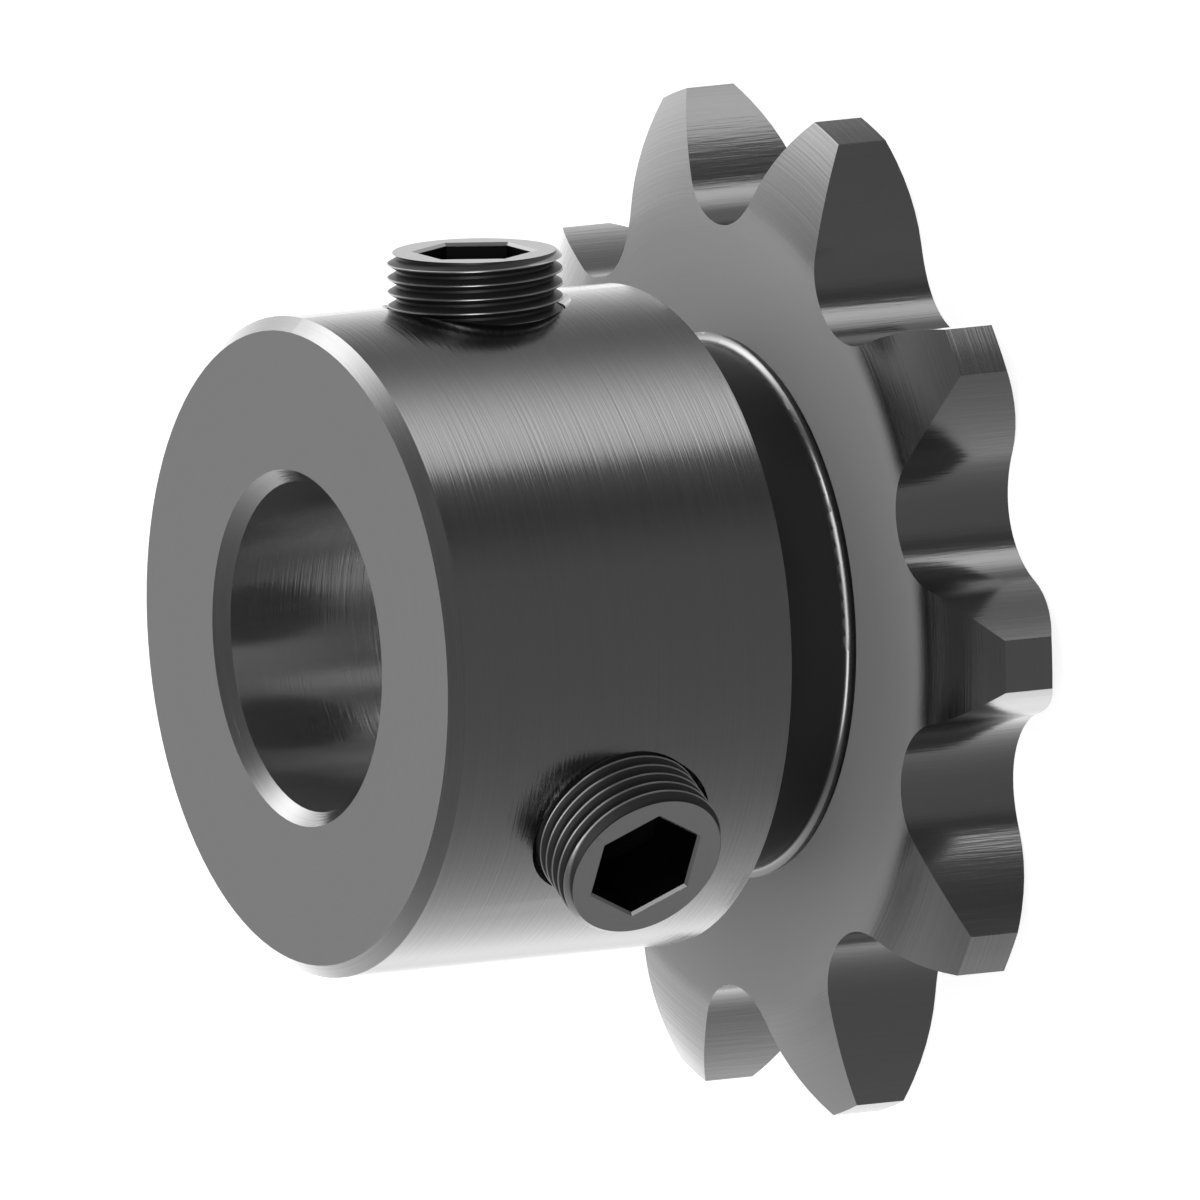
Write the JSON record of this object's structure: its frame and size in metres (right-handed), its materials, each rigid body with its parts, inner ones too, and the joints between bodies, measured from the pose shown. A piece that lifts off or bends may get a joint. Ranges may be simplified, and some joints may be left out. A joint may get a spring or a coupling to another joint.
{
  "type": "chain sprocket",
  "caption": "Roller chain sprocket with a toothed plate, a long cylindrical hub with a chain groove, a chamfered bore and hex socket set screws.",
  "frame": {"origin": "centre of the bore at the flat back face of the tooth plate", "axes": "+Z along the bore towards the nose of the hub, +X along set_screw_1"},
  "size_m": [0.0336, 0.0348, 0.0206],
  "materials": {
    "turned_steel": "turned and brushed, oiled",
    "screw_steel": "hardened alloy steel, satin"
  },
  "bodies": {
    "sprocket": {"sprocket": "turned_steel"},
    "set_screw_1": {"set_screw_1": "screw_steel"},
    "set_screw_2": {"set_screw_2": "screw_steel"}
  },
  "joints": [
    {"name": "set_screw_1_drive", "type": "slide", "parent": "sprocket", "child": "set_screw_1", "axis": [-1, 0, 0], "range_m": [-0.0033, 0.00125]},
    {"name": "set_screw_2_drive", "type": "slide", "parent": "sprocket", "child": "set_screw_2", "axis": [0.5, 0.866, 0], "range_m": [-0.00301, 0.00154]}
  ]
}
